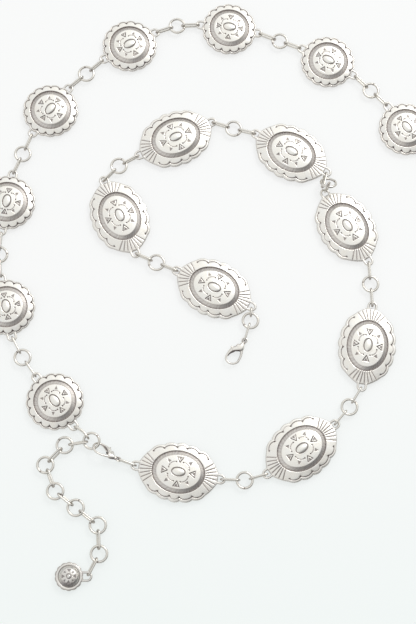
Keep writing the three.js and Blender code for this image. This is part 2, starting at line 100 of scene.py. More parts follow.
EXTENSION = [
    ("ext_ring_1", -29.705, 104.31, 2.65, -0.1297, -0.1278), ("ext_ring_2", -43.95, 101.97, LIE, 0, 0),
    ("ext_ring_3", -53.99, 91.34, LIE, 0, 0), ("ext_ring_4", -48.39, 77.47, LIE, 0, 0),
    ("ext_ring_5", -37.37, 68.78, LIE, 0, 0), ("ext_ring_6", -25.54, 59.65, LIE, 0, 0),
    ("ext_ring_7", -24.64, 44.77, LIE, 0, 0)]
DROP_AT = (-40.06, 33.07, -0.1)
DROP_LUG = 9.45
END_RING = (55.99, 171.3)
CLASPS = [  # key, eye x, y, z, direction, roll, pitch
    ("clasp_1", -15.112, 94.48, 3.15, 153.58, 38.35, 3.07),
    ("clasp_2", 52.67, 160.2, LIE, -120.4, 0.0, 0.0)]
FAR_END = dict(ring_turn=-57, ring_reach=13.4, clasp_turn=-61, clasp_reach=12.75)
RING_R, RING_W = 4.22, 0.72
LINK_REACH, LINK_RISE, LINK_W = 9.8, 1.55, 0.6


def place(p):
    """Layout millimetres to frame metres."""
    p = np.asarray(p, float).reshape(-1, 3)
    return (p - np.array([MIDDLE[0], MIDDLE[1], 0.0])) * MM


def unit(v):
    v = np.asarray(v, float)
    return v / np.linalg.norm(v)


def polar(r, deg):
    a = math.radians(deg)
    return np.array([r * math.cos(a), r * math.sin(a)])


# ------------------------------------------------------------------ mesh helpers
def mesh_object(name, verts, faces, patina=None, matrix=None, smooth=True):
    me = bpy.data.meshes.new(name)
    me.from_pydata([tuple(v) for v in verts], [], [tuple(f) for f in faces])
    me.update()
    if smooth:
        me.polygons.foreach_set("use_smooth", [True] * len(me.polygons))
    if patina is not None:
        a = me.attributes.new("patina", "FLOAT", "POINT")
        a.data.foreach_set("value", np.asarray(patina, np.float32))
    ob = bpy.data.objects.new(name, me)
    bpy.context.scene.collection.objects.link(ob)
    if matrix is not None:
        ob.matrix_world = matrix
    return ob


def joined(parts):
    """Several (verts, faces, patina and painted shade) as one."""
    verts, faces, patina, start = [], [], [], 0
    for v, f, p in parts:
        verts.append(np.asarray(v, float))
        faces += [tuple(i + start for i in q) for q in f]
        patina.append(np.asarray(p, float))
        start += len(v)
    return np.vstack(verts), faces, np.concatenate(patina)


def sweep(path, radii, closed=False, sides=12, flat=None, cap=True):
    """Round wire along a path of 3-D points. radii: one number or one per point, or (across, up) pairs."""
    P = np.asarray(path, float)
    n = len(P)
    R = np.asarray(radii, float)
    if R.ndim == 0:
        R = np.full((n, 2), float(R))
    elif R.ndim == 1:
        R = np.stack([R, R], 1)
    if closed:
        T = np.roll(P, -1, 0) - np.roll(P, 1, 0)
    else:
        T = np.gradient(P, axis=0)
    T /= np.linalg.norm(T, axis=1)[:, None]
    up = unit(flat) if flat is not None else np.array([0.0, 0.0, 1.0])
    verts, faces = [], []
    for i in range(n):
        side = np.cross(T[i], up)
        side = unit(side)
        lift = np.cross(side, T[i])
        for k in range(sides):
            a = 2 * math.pi * k / sides
            verts.append(P[i] + side * R[i, 0] * math.cos(a) + lift * R[i, 1] * math.sin(a))
    m = n if closed else n - 1
    for i in range(m):
        j = (i + 1) % n
        for k in range(sides):
            l = (k + 1) % sides
            faces.append((i * sides + k, i * sides + l, j * sides + l, j * sides + k))
    if not closed and cap:
        for ring, centre, flip in ((0, P[0], False), (n - 1, P[-1], True)):
            verts.append(centre)
            c = len(verts) - 1
            for k in range(sides):
                l = (k + 1) % sides
                f = (ring * sides + l, ring * sides + k, c)
                faces.append(tuple(reversed(f)) if flip else f)
    return np.array(verts), faces


def outward(verts, faces):
    """Faces turned so that the closed shell's volume is positive."""
    v = np.asarray(verts)
    vol = 0.0
    for f in faces:
        for i in range(1, len(f) - 1):
            vol += np.dot(v[f[0]], np.cross(v[f[i]], v[f[i + 1]]))
    return faces if vol > 0 else [tuple(reversed(f)) for f in faces]


def smoothstep(x):
    x = np.clip(x, 0.0, 1.0)
    return x * x * (3 - 2 * x)


def segment_distance(P, A, B):
    """Distance of each 2-D point to the nearest of the segments A-B."""
    best = np.full(len(P), 1e9)
    for a, b in zip(A, B):
        d = b - a
        t = np.clip(((P - a) @ d) / max(d @ d, 1e-12), 0, 1)
        q = P - (a + t[:, None] * d)
        best = np.minimum(best, np.hypot(q[:, 0], q[:, 1]))
    return best


def triangle_depth(P, tri):
    """How far inside a triangle each point is, negative outside."""
    tri = [np.asarray(t, float) for t in tri]
    area = np.cross(tri[1] - tri[0], tri[2] - tri[0])
    if area < 0:
        tri = [tri[0], tri[2], tri[1]]
    inside = np.full(len(P), 1e9)
    for i in range(3):
        a, b = tri[i], tri[(i + 1) % 3]
        n = unit(np.array([-(b - a)[1], (b - a)[0]]))
        inside = np.minimum(inside, (P - a) @ n)
    return inside


def bulged(a, b, sagitta, outward_of=(0, 0), steps=14, power=0.75):
    """A bow from a to b that bulges away from a point."""
    a, b = np.asarray(a, float), np.asarray(b, float)
    mid = (a + b) / 2
    n = unit(np.array([(b - a)[1], -(b - a)[0]]))
    if n @ (mid - np.asarray(outward_of, float)) < 0:
        n = -n
    u = np.linspace(0, 1, steps + 1)
    return a + (b - a) * u[:, None] + n * (sagitta * np.sin(np.pi * u)[:, None] ** power)


# ------------------------------------------------------------------ concho: outline, stamps, section
SCALLOPS, FIRST_CUSP = 17, -6.0
ROUND = dict(
    field=(8.95, 8.95), band=(11.55, 11.55), lug=LUG_ROUND,
    peak=15.6, cusp=14.95, line_cusp=13.75, line_peak=14.85,
    arc=0.58, dots=[(4.9, 1.6), (1.7, 4.6)],
    big=[(0, 4.9, 7.4, 2.9), (90, 4.9, 7.4, 2.9)], small=(5.15, 4.78, 1.65))
OVAL = dict(
    field=(11.9, 9.05), band=(14.35, 11.5), lug=LUG_OVAL,
    corner=[(21.35, 0.0), (21.3, 2.8), (19.6, 5.75), (17.9, 8.05), (15.6, 10.5)],
    cusps=[(15.6, 10.5), (9.75, 13.3), (3.1, 14.9), (-3.1, 14.9)], bulge=[0.95, 1.05, 1.1],
    marks=[(14.8, 9.35), (9.3, 11.65), (2.65, 13.2), (-2.65, 13.2)], mark_bulge=[1.25, 1.3, 1.3],
    fan=dict(at=9.3, start=5.1, end=11.3, turns=(5.5, 17.0, 28.5, 41.0)),
    arc=0.5, dots=[(5.55, 1.8), (1.9, 5.2)],
    big=[(0, 5.9, 9.0, 3.5), (90, 5.0, 7.9, 3.4)], small=(5.85, 5.4, 1.85))
BOSS = (3.6, 2.25)  # its groove; the boss inside is a little smaller
# Section from the band's outer edge (share 1) to its inner edge (share 0) and the dome.
BAND_SHARE = [0.0, 0.08, 0.20, 0.40, 0.60, 0.74, 0.83, 0.92, 1.0]
BAND_Z = [4.62, 4.50, 4.30, 3.96, 3.66, 3.46, 3.36, 3.33, 3.84]
FLANGE_TOP, FLANGE_EDGE, EDGE_BOTTOM = 3.84, 2.62, 1.3
DOME_RISE = 1.0


def mirrored(points):
    """A run of points in the first quadrant's order, carried round all four."""
    q = [np.asarray(p, float) for p in points]
    up = q + [np.array([-p[0], p[1]]) for p in reversed(q) if abs(p[0]) > 1e-6]
    return up + [np.array([-p[0], -p[1]]) for p in up]


def oval_outline():
    c = OVAL["cusps"]
    run = [np.asarray(p, float) for p in OVAL["corner"]]
    corner = []
    for a, b in zip(run, run[1:]):
        corner += [a + (b - a) * t for t in np.linspace(0, 1, 5)[:-1]]
    lobes = []
    for i in range(3):
        bow = bulged(c[i], c[i + 1], OVAL["bulge"][i], steps=16)
        lobes += list(bow[:-1]) if i < 2 else list(bow[:9])
    quarter = corner + lobes
    pts = np.array(quarter + [np.array([-p[0], p[1]]) for p in reversed(quarter[1:-1])] +
                   [np.array([-p[0], -p[1]]) for p in quarter] +
                   [np.array([p[0], -p[1]]) for p in reversed(quarter[1:-1])])
    return pts


def outline_reach(kind, t):
    """Outline as a multiple of the band's ellipse in its parameter t (radians)."""
    a, b = kind["band"]
    if kind is ROUND:
        u = ((np.degrees(t) - FIRST_CUSP) / (360 / SCALLOPS)) % 1.0
        return (kind["cusp"] + (kind["peak"] - kind["cusp"]) * np.abs(np.sin(np.pi * u)) ** 0.75) / a
    pts = oval_outline()
    ang = np.arctan2(pts[:, 1] / b, pts[:, 0] / a) % (2 * np.pi)
    rho = np.hypot(pts[:, 0] / a, pts[:, 1] / b)
    o = np.argsort(ang)
    ang, rho = ang[o], rho[o]
    return np.interp(t % (2 * np.pi), np.r_[ang[-1] - 2 * np.pi, ang, ang[0] + 2 * np.pi], np.r_[rho[-1], rho, rho[0]])


def stamps(kind, P):
    """Depth in millimetres and darkness (0 to 1) of every struck line and mark at 2-D points P."""
    depth = np.zeros(len(P))
    dark = np.zeros(len(P))

    def cut(d, half, deep, tone=1.0, soft=0.14):
        m = smoothstep((half + soft - d) / (2 * soft))
        np.maximum(depth, m * deep, out=depth)
        np.maximum(dark, m * tone, out=dark)

    r = np.hypot(P[:, 0], P[:, 1])
    # boss: its groove
    e = np.hypot(P[:, 0] / BOSS[0], P[:, 1] / BOSS[1])
    away = np.abs(e - 1) * (BOSS[0] * BOSS[1]) / np.maximum(np.hypot(P[:, 0] * BOSS[1] / BOSS[0], P[:, 1] * BOSS[0] / BOSS[1]), 0.3)
    away = np.where(r > 0.6, away, 9.0)
    cut(away, 0.23, 0.28, 0.85)
    # bow ring with a dot at each end
    d0, d1 = [np.asarray(p) for p in kind["dots"]]
    a0, a1 = math.atan2(d0[1], d0[0]), math.atan2(d1[1], d1[0])
    r0, r1 = math.hypot(*d0), math.hypot(*d1)
    arcs = []
    for sx in (1, -1):
        for sy in (1, -1):
            t = np.linspace(a0, a1, 9)
            rr = np.linspace(r0, r1, 9) + kind["arc"] * np.sin(np.linspace(0, np.pi, 9)) ** 0.8
            bow = np.stack([sx * rr * np.cos(t), sy * rr * np.sin(t)], 1)
            arcs.append(bow)
            for p in (bow[0], bow[-1]):
                cut(np.hypot(P[:, 0] - p[0], P[:, 1] - p[1]), 0.34, 0.26)
            for k, size, tone in ((2, 0.27, 0.95), (4, 0.2, 0.85)):  # smaller beads follow the first
                cut(np.hypot(P[:, 0] - bow[k][0], P[:, 1] - bow[k][1]), size, 0.22, tone)
    near = (r > 4) & (r < 7.5)
    d = np.full(len(P), 9.0)
    for bow in arcs:
        d[near] = np.minimum(d[near], segment_distance(P[near], bow[:-1], bow[1:]))
    cut(d, 0.17, 0.16, 0.68, soft=0.16)
    # large nested triangles, apex inwards
    for turn, apex, base, width in kind["big"]:
        for flip in (0, 180):
            c, s = polar(1, turn + flip)
            Q = np.stack([P[:, 0] * c + P[:, 1] * s, -P[:, 0] * s + P[:, 1] * c], 1)
            near = (np.abs(Q[:, 1]) < width) & (Q[:, 0] > apex - 1) & (Q[:, 0] < base + 1)
            q = Q[near]
            A = np.array([apex, 0.0]); B = np.array([base, width / 2]); C = np.array([base, -width / 2])
            d = np.full(len(P), 9.0)
            d[near] = segment_distance(q, [A, A], [B, C])
            cut(d, 0.20, 0.26)
            d[near] = segment_distance(q, [B], [C])
            cut(d, 0.17, 0.22, 0.8)
            h = base - apex
            inner = triangle_depth(q, [(apex + 0.46 * h, 0.0), (base - 0.12, 0.25 * width), (base - 0.12, -0.25 * width)])
            d[near] = -inner
            cut(d, 0.0, 0.2, 0.72, soft=0.12)
    # small solid triangles on the diagonals, apex outwards
    x, y, size = kind["small"]
    for sx in (1, -1):
        for sy in (1, -1):
            at = np.array([sx * x, sy * y])
            inw = -unit(at)
            side = np.array([-inw[1], inw[0]])
            tri = [at - inw * size * 0.62, at + inw * size * 0.45 + side * size * 0.47, at + inw * size * 0.45 - side * size * 0.47]
            near = np.hypot(P[:, 0] - at[0], P[:, 1] - at[1]) < 2 * size
            d = np.full(len(P), 9.0)
            d[near] = -triangle_depth(P[near], tri)
            cut(d, 0.03, 0.24, 0.7, soft=0.14)
    # scallop line near the rim, with a wedge at each cusp
    if kind is ROUND:
        t = np.arctan2(P[:, 1], P[:, 0])
        u = ((np.degrees(t) - FIRST_CUSP) / (360 / SCALLOPS)) % 1.0
        step = math.radians(360 / SCALLOPS)
        near = r > 12.3
        uu = np.linspace(0, 1, 15)
        rr = kind["line_cusp"] + (kind["line_peak"] - kind["line_cusp"]) * np.sin(np.pi * uu) ** 0.7
        bow = np.stack([rr * np.cos((uu - 0.5) * step), rr * np.sin((uu - 0.5) * step)], 1)
        L = np.stack([r * np.cos((u - 0.5) * step), r * np.sin((u - 0.5) * step)], 1)
        d = np.full(len(P), 9.0)
        d[near] = segment_distance(L[near], bow[:-1], bow[1:])
        cut(d, 0.21, 0.26, 0.88)
        for end in (bow[0], bow[-1]):
            out = unit(end)
            side = np.array([-out[1], out[0]])
            tri = [end - out * 0.66, end + out * 0.36 + side * 0.80, end + out * 0.36 - side * 0.80]
            d = np.full(len(P), 9.0)
            d[near] = -triangle_depth(L[near], tri)
            cut(d, 0.03, 0.28, soft=0.12)
    else:
        m = kind["marks"]
        Q = np.abs(P)
        near = (Q[:, 1] > 7.5) & (r > 11.5)
        q = Q[near]
        A, B = [], []
        for i in range(3):
            bow = bulged(m[i], m[i + 1], kind["mark_bulge"][i])
            A += list(bow[:-1]); B += list(bow[1:])
        d = np.full(len(P), 9.0)
        d[near] = segment_distance(q, A[:-14], B[:-14])
        cut(d, 0.20, 0.26, 0.92)
        d[near] = segment_distance(q, A[-14:], B[-14:])
        cut(d, 0.16, 0.16, 0.6)
        for p in m[:3]:
            p = np.asarray(p, float)
            out = unit(p / np.array([1.25, 1.0]))
            side = np.array([-out[1], out[0]])
            tri = [p - out * 0.55, p + out * 0.32 + side * 0.78, p + out * 0.32 - side * 0.78]
            d = np.full(len(P), 9.0)
            d[near] = -triangle_depth(q, tri)
            cut(d, 0.03, 0.28, soft=0.12)
        f = kind["fan"]
        near = Q[:, 0] > 12.5
        q = Q[near]
        A = [np.array([f["at"], 0]) + polar(f["start"], t) for t in f["turns"]]
        B = [np.array([f["at"], 0]) + polar(f["end"], t) for t in f["turns"]]
        d = np.full(len(P), 9.0)
        d[near] = segment_distance(q, A, B)
        e = np.hypot(P[:, 0] / kind["band"][0], P[:, 1] / kind["band"][1])
        d = np.where(e < 1.03, 9.0, d)
        cut(d, 0.21, 0.26, 0.95, soft=0.17)
    return depth, dark


def section(kind, P, share_band, e_field):
    """Height and darkness without stamps, from where a point stands in the band and field."""
    z = np.interp(share_band, BAND_SHARE, BAND_Z)
    # Band darkness: patina in the channel, deepened at its outer wall (shares 0.88 to 0.985) into painted crease shade.
    tone = np.interp(share_band, [0.0, 0.05, 0.15, 0.40, 0.58, 0.70, 0.80, 0.88, 0.94, 0.985, 1.0], [0.24, 0.44, 0.34, 0.27, 0.34, 0.52, 0.62, 0.80, 0.90, 0.70, 0.12])
    # slanting tool marks in the band
    turn = np.arctan2(P[:, 1] / kind["band"][1], P[:, 0] / kind["band"][0])
    marks = sum(np.sin(n * turn + 5.0 * share_band + o) for n, o in ((29, 0.4), (43, 1.9), (56, 3.1)))
    tone = tone + 0.045 * marks * smoothstep(share_band / 0.15) * smoothstep((1 - share_band) / 0.15)
    dome = 4.62 + DOME_RISE * (1 - e_field ** 2) ** 1.0
    inside = e_field < 1.0
    z = np.where(inside, dome, z)
    tone = np.where(inside, 0.30 * smoothstep((e_field - 0.965) / 0.035), tone)
    return z, tone


def concho_mesh(kind):
    a, b = kind["band"]
    fa, fb = kind["field"]
    N = 340
    tN = np.radians(FIRST_CUSP) + np.arange(N) * 2 * np.pi / N if kind is ROUND else np.arange(N) * 2 * np.pi / N
    reach = outline_reach(kind, tN)
    rows = []  # (step, xy, kind of row, value)
    centre_r = np.r_[np.linspace(0.055, 0.175, 4), np.arange(0.20, 0.46, 0.0185)]
    for e in centre_r:
        step = 4 if e < 0.19 else 2
        t = tN[::step]
        rows.append((step, np.stack([fa * e * np.cos(t), fb * e * np.sin(t)], 1), "field", e))
    for e in np.r_[np.arange(0.462, 0.85, 0.0182), 0.87, 0.905, 0.94, 0.97, 1.0]:
        rows.append((1, np.stack([fa * e * np.cos(tN), fb * e * np.sin(tN)], 1), "field", e))
    for s in (0.06, 0.13, 0.25, 0.40, 0.55, 0.66, 0.74, 0.80, 0.86, 0.92, 0.965, 1.0):
        ea, eb = fa + (a - fa) * s, fb + (b - fb) * s
        rows.append((1, np.stack([ea * np.cos(tN), eb * np.sin(tN)], 1), "band", s))
    S = np.r_[0.07, 0.18, 0.30, 0.40, np.arange(0.46, 0.945, 0.045), 0.965, 1.0]
    for s in S:
        k = 1 + (reach - 1) * s
        rows.append((1, np.stack([a * k * np.cos(tN), b * k * np.sin(tN)], 1), "flange", s))
    top = []
    for step, P, what, val in rows:
        e_field = np.full(len(P), val if what == "field" else 2.0)
        share = np.full(len(P), val if what == "band" else (1.0 if what == "flange" else 0.0))
        z, tone = section(kind, P, share, e_field)
        if what == "flange":
            z = FLANGE_TOP + (FLANGE_EDGE - FLANGE_TOP) * (0.72 * val + 0.28 * val ** 2)
            z = z + 0.06 * math.exp(-((val - 0.03) / 0.03) ** 2) - 0.22 * smoothstep((val - 0.93) / 0.07) ** 2
            z = np.full(len(P), z)
            tone = np.full(len(P), 0.04 + 0.20 * smoothstep((val - 0.93) / 0.07))
        depth, dark = stamps(kind, P)
        if what == "field":
            e_boss = np.hypot(P[:, 0] / (BOSS[0] - 0.28), P[:, 1] / (BOSS[1] - 0.28))
            z = z + np.where(e_boss < 1, 0.54 * np.clip(1 - e_boss ** 2, 0, 1) ** 0.7, 0)
            ring = np.hypot(P[:, 0] / (BOSS[0] + 0.55), P[:, 1] / (BOSS[1] + 0.55))
            z = z + 0.06 * np.exp(-((ring - 1) / 0.1) ** 2)
        z = z - depth
        top.append((step, np.column_stack([P, z]), np.maximum(tone, dark)))
    # rim edge and underside
    def scaled(f, z, step=1, of="rim"):
        if of == "rim":
            k = reach[::step] * f
            t = tN[::step]
            return step, np.column_stack([a * k * np.cos(t), b * k * np.sin(t), np.full(len(t), z)]), np.full(len(t), 0.45)
        t = tN[::step]
        return step, np.column_stack([fa * f * np.cos(t), fb * f * np.sin(t), np.full(len(t), z)]), np.full(len(t), 0.45)
    bottom = [scaled(1.004, 2.2), scaled(1.004, 1.62), scaled(0.995, 1.38), scaled(0.975, 1.3, 2), scaled(0.91, 1.3, 2),
              scaled(0.90, 1.36, 4), scaled(0.80, 1.9, 4), scaled(1.15, 2.65, 4, "field"), scaled(0.95, 3.25, 4, "field"),
              scaled(0.7, 3.55, 4, "field"), scaled(0.35, 3.8, 4, "field")]
    rings = top + bottom
    verts, patina, starts = [np.array([[0, 0, 0.0]])], [np.array([0.0])], []
    n0 = 1
    z0, t0 = section(kind, np.array([[0, 0]]), np.array([0.0]), np.array([0.0]))
    verts[0][0, 2] = z0[0] + 0.54
    for step, V, p in rings:
        starts.append(n0); verts.append(V); patina.append(p); n0 += len(V)
    verts.append(np.array([[0, 0, 3.85]])); patina.append(np.array([0.45]))
    last = n0
    faces = []
    m = len(rings[0][1])
    for i in range(m):
        faces.append((0, starts[0] + i, starts[0] + (i + 1) % m))
    for k in range(len(rings) - 1):
        sa, sb = starts[k], starts[k + 1]
        A, B = len(rings[k][1]), len(rings[k + 1][1])
        if A == B:
            for i in range(A):
                j = (i + 1) % A
                faces.append((sa + i, sb + i, sb + j, sa + j))
        elif B == 2 * A:
            for i in range(A):
                j = (i + 1) % A
                faces += [(sa + i, sb + 2 * i, sb + 2 * i + 1), (sa + i, sb + 2 * i + 1, sa + j), (sa + j, sb + 2 * i + 1, sb + (2 * i + 2) % B)]
        else:
            for i in range(B):
                j = (i + 1) % B
                faces += [(sa + 2 * i, sb + i, sa + 2 * i + 1), (sa + 2 * i + 1, sb + i, sb + j), (sa + 2 * i + 1, sb + j, sa + (2 * i + 2) % A)]
    m = len(rings[-1][1])
    for i in range(m):
        faces.append((starts[-1] + i, last, starts[-1] + (i + 1) % m))
    return np.vstack(verts), faces, np.concatenate(patina)


def lug_mesh(reach, side):
    """A rounded loop at +X or -X whose two legs end inside the rim."""
    leg = [(-3.0, -2.15), (-2.0, -2.15), (-1.0, -2.15)]
    arc = [tuple(polar(2.15, t)) for t in range(-90, 91, 12)]
    path = [(side * (reach + x), y, LIE) for x, y in leg + arc + [(x, -y) for x, y in reversed(leg)]]
    v, f = sweep(path, np.tile([0.68, 0.64], (len(path), 1)), sides=12)
    return v, outward(v, f), np.full(len(v), 0.16)


def all_in_mm(parts):
    v, f, p = joined(parts)
    return v * MM, f, p


# ------------------------------------------------------------------ materials
def silver(name, base, rough, patina_and_shade_tone, grain=1.0, warm=0.03):
    """Plated metal: bright on the high places, darkened by the patina attribute, which holds both patina in the hollows
    and painted shade, with fine wear.
    """
    m = bpy.data.materials.new(name)
    m.use_nodes = True
    nt = m.node_tree
    N, L = nt.nodes, nt.links
    b = N["Principled BSDF"]
    b.inputs["Metallic"].default_value = 1.0
    tc = N.new("ShaderNodeTexCoord")
    info = N.new("ShaderNodeObjectInfo")
    shift = N.new("ShaderNodeVectorMath"); shift.operation = "ADD"
    spread = N.new("ShaderNodeVectorMath"); spread.operation = "SCALE"
    spread.inputs["Scale"].default_value = 1.7
    L.new(info.outputs["Location"], spread.inputs[0])
    L.new(tc.outputs["Object"], shift.inputs[0]); L.new(spread.outputs[0], shift.inputs[1])
    cloud = N.new("ShaderNodeTexNoise"); cloud.inputs["Scale"].default_value = 260.0
    cloud.inputs["Detail"].default_value = 4.0; cloud.inputs["Roughness"].default_value = 0.6
    fine = N.new("ShaderNodeTexNoise"); fine.inputs["Scale"].default_value = 2600.0
    fine.inputs["Detail"].default_value = 3.0
    for n in (cloud, fine):
        L.new(shift.outputs[0], n.inputs["Vector"])
    att = N.new("ShaderNodeAttribute"); att.attribute_name = "patina"
    # edge of the patina and painted shade broken by the cloud
    mixm = N.new("ShaderNodeMath"); mixm.operation = "MULTIPLY_ADD"
    L.new(cloud.outputs["Fac"], mixm.inputs[0]); mixm.inputs[1].default_value = 0.34; mixm.inputs[2].default_value = -0.17
    addm = N.new("ShaderNodeMath"); addm.operation = "ADD"; addm.use_clamp = True
    L.new(att.outputs["Fac"], addm.inputs[0])
    gate = N.new("ShaderNodeMath"); gate.operation = "MULTIPLY"
    soft = N.new("ShaderNodeMath"); soft.operation = "MULTIPLY_ADD"; soft.use_clamp = True
    L.new(att.outputs["Fac"], soft.inputs[0]); soft.inputs[1].default_value = 3.0; soft.inputs[2].default_value = 0.18
    L.new(mixm.outputs[0], gate.inputs[0]); L.new(soft.outputs[0], gate.inputs[1])
    L.new(gate.outputs[0], addm.inputs[1])
    ramp = N.new("ShaderNodeValToRGB")
    ramp.color_ramp.elements[0].position = 0.0; ramp.color_ramp.elements[0].color = (*base, 1)
    ramp.color_ramp.elements[1].position = 1.0; ramp.color_ramp.elements[1].color = (*patina_and_shade_tone, 1)
    mid = ramp.color_ramp.elements.new(0.5)
    mid.color = tuple((x * 0.50 + y * 0.50) * k for x, y, k in zip(base, patina_and_shade_tone, (1.03, 0.985, 0.985))) + (1,)
    L.new(addm.outputs[0], ramp.inputs["Fac"])
    tint = N.new("ShaderNodeMix"); tint.data_type = "RGBA"; tint.blend_type = "MULTIPLY"
    tint.inputs["Factor"].default_value = 1.0
    warmr = N.new("ShaderNodeValToRGB")
    warmr.color_ramp.elements[0].position = 0.35; warmr.color_ramp.elements[0].color = (1 - warm * 0.3, 1 - warm, 1 - 2 * warm, 1)
    warmr.color_ramp.elements[1].position = 0.65; warmr.color_ramp.elements[1].color = (1, 1, 1, 1)
    L.new(cloud.outputs["Fac"], warmr.inputs["Fac"])
    L.new(ramp.outputs["Color"], tint.inputs["A"]); L.new(warmr.outputs["Color"], tint.inputs["B"])
    L.new(tint.outputs["Result"], b.inputs["Base Color"])
    rr = N.new("ShaderNodeMath"); rr.operation = "MULTIPLY_ADD"; rr.inputs[1].default_value = 0.26
    L.new(addm.outputs[0], rr.inputs[0]); rr.inputs[2].default_value = rough - 0.05
    rn = N.new("ShaderNodeMath"); rn.operation = "MULTIPLY_ADD"; rn.inputs[1].default_value = 0.12
    L.new(fine.outputs["Fac"], rn.inputs[0]); L.new(rr.outputs[0], rn.inputs[2])
    L.new(rn.outputs[0], b.inputs["Roughness"])
    bump = N.new("ShaderNodeBump"); bump.inputs["Strength"].default_value = 0.10 * grain
    bump.inputs["Distance"].default_value = 0.00012
    L.new(fine.outputs["Fac"], bump.inputs["Height"])
    bump2 = N.new("ShaderNodeBump"); bump2.inputs["Strength"].default_value = 0.22 * grain
    bump2.inputs["Distance"].default_value = 0.0003
    L.new(cloud.outputs["Fac"], bump2.inputs["Height"]); L.new(bump.outputs["Normal"], bump2.inputs["Normal"])
    L.new(bump2.outputs["Normal"], b.inputs["Normal"])
    return m


# The dark colour of each metal stands for patina and for painted shade alike.
SILVER = silver("concho_metal", (0.86, 0.855, 0.815), 0.27, (0.112, 0.09, 0.088))
WIRE = silver("wire_metal", (0.78, 0.77, 0.725), 0.22, (0.16, 0.14, 0.13), grain=0.8)
CAST = silver("clasp_metal", (0.82, 0.81, 0.77), 0.22, (0.14, 0.12, 0.12), grain=0.7)
DARK = silver("drop_metal", (0.78, 0.775, 0.74), 0.24, (0.12, 0.11, 0.12), grain=1.1)


def dress(ob, mat, body="root", nodes=()):
    ob.data.materials.clear()
    ob.data.materials.append(mat)
    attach(ob, body)
    if nodes:
        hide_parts(*nodes)


# ------------------------------------------------------------------ conchos
def turned(x, y, z, deg):
    return Matrix.Translation(Vector(((x - MIDDLE[0]) * MM, (y - MIDDLE[1]) * MM, z * MM))) @ Matrix.Rotation(math.radians(deg), 4, "Z")


lug_at = {}
for table, kind, reach in ((ROUNDS, ROUND, LUG_ROUND), (OVALS, OVAL, LUG_OVAL)):
    body = concho_mesh(kind)
    v, f, p = all_in_mm([body, lug_mesh(reach, 1), lug_mesh(reach, -1)])
    shared = None
    for name, x, y, turn in table:
        if shared is None:
            ob = mesh_object(name + "_look", v, f, p)
            shared = ob.data
        else:
            ob = bpy.data.objects.new(name + "_look", shared.copy())
            bpy.context.scene.collection.objects.link(ob)
        ob.matrix_world = turned(x, y, 0, turn + (0 if name in OTHER_WAY else 180))
        dress(ob, SILVER, nodes=(name,))
        for lug in (0, 1):
            d = polar(reach, turn + 180 * lug)
            lug_at[(name, lug)] = np.array([x + d[0], y + d[1], LIE])


# ------------------------------------------------------------------ rings and links
def ring_part(centre, normal=(0, 0, 1), cut_turn=0.0, steps=44, sides=12):
    """A jump ring: round wire with a fine joint where its ends meet."""
    n = unit(normal)
    a = unit(np.cross((0, 1, 0), n)); b = np.cross(n, a)
    t = np.linspace(0, 2 * np.pi, steps, endpoint=False) + math.radians(cut_turn)
    w = np.full(steps, RING_W)
    w[0] = RING_W * 0.86
    path = np.asarray(centre) + RING_R * (np.cos(t)[:, None] * a + np.sin(t)[:, None] * b)
    v, f = sweep(path, w, closed=True, sides=sides, flat=n)
    pat = np.full(len(v), 0.12)
    pat[:sides] = 0.9
    # painted shade on the ring's inner wall
    inner = np.linalg.norm(v - np.asarray(centre), axis=1) < RING_R - 0.35
    pat[inner] = np.maximum(pat[inner], 0.3)
    return v, outward(v, f), pat


def link_part(a, b, roll=0.0, sides=12, rise=LINK_RISE, wire=LINK_W, bow=0.0):
    """A long link on edge: two straight sides and half-round ends, from one end-wire centre to the other."""
    a, b = np.asarray(a, float), np.asarray(b, float)
    u = unit(b - a)
    w = unit(np.array([-u[1], u[0], 0.0])) if math.hypot(u[0], u[1]) > 1e-6 else np.array([1.0, 0, 0])
    v0 = np.cross(u, w)
    r = math.radians(roll)
    v = v0 * math.cos(r) + w * math.sin(r)
    half = np.linalg.norm(b - a) / 2
    s = half - rise
    path = []
    for end, start in ((1, -90), (-1, 90)):
        for k in range(11):
            x, y = polar(rise, start + 18 * k)
            path.append((end * s + x, y))
        if end == 1:
            path += [(t, rise) for t in np.linspace(s, -s, 6)[1:-1]]
        else:
            path += [(t, -rise) for t in np.linspace(-s, s, 6)[1:-1]]
    mid = (a + b) / 2
    P = np.array([mid + u * x + v * y + w * bow * math.cos(math.pi * x / (2 * half)) for x, y in path])
    vv, f = sweep(P, wire, closed=True, sides=sides, flat=np.cross(u, v))
    end_dist = np.minimum(np.linalg.norm(vv - a, axis=1), np.linalg.norm(vv - b, axis=1))
    pat = 0.12 + 0.55 * np.exp(-(end_dist / 1.35) ** 2)
    return vv, outward(vv, f), pat


def chain_piece(name, parts, nodes, mat=None):
    v, f, p = joined(parts)
    ob = mesh_object(name, place(v), f, p)
    dress(ob, mat or WIRE, nodes=nodes)
    return ob


RING_SIDE, LUG_SIDE = 2.84, 12.64
for k, (name, x, y, one, two) in enumerate(GAPS):
    c = np.array([x, y, LIE])
    parts = [ring_part(c, cut_turn=70 + 131 * k)]
    for lug in (one, two):
        u = unit(lug_at[lug] - c)
        parts.append(link_part(c + u * RING_SIDE, c + u * LUG_SIDE))
    chain_piece(name + "_look", parts, (name,))

rx, ry, rz, nx, ny = SLACK_RING
parts = [ring_part((rx, ry, rz), (nx, ny, math.sqrt(1 - nx * nx - ny * ny)), cut_turn=20)]
for x, y, z, yaw, pitch, roll in SLACK_LINKS:
    cp = math.cos(math.radians(pitch))
    u = np.array([*polar(cp, yaw), math.sin(math.radians(pitch))])
    c = np.array([x, y, z])
    parts.append(link_part(c - u * LINK_REACH / 2, c + u * LINK_REACH / 2, roll))
chain_piece("oval_gap_4_look", parts, ("oval_gap_4",))


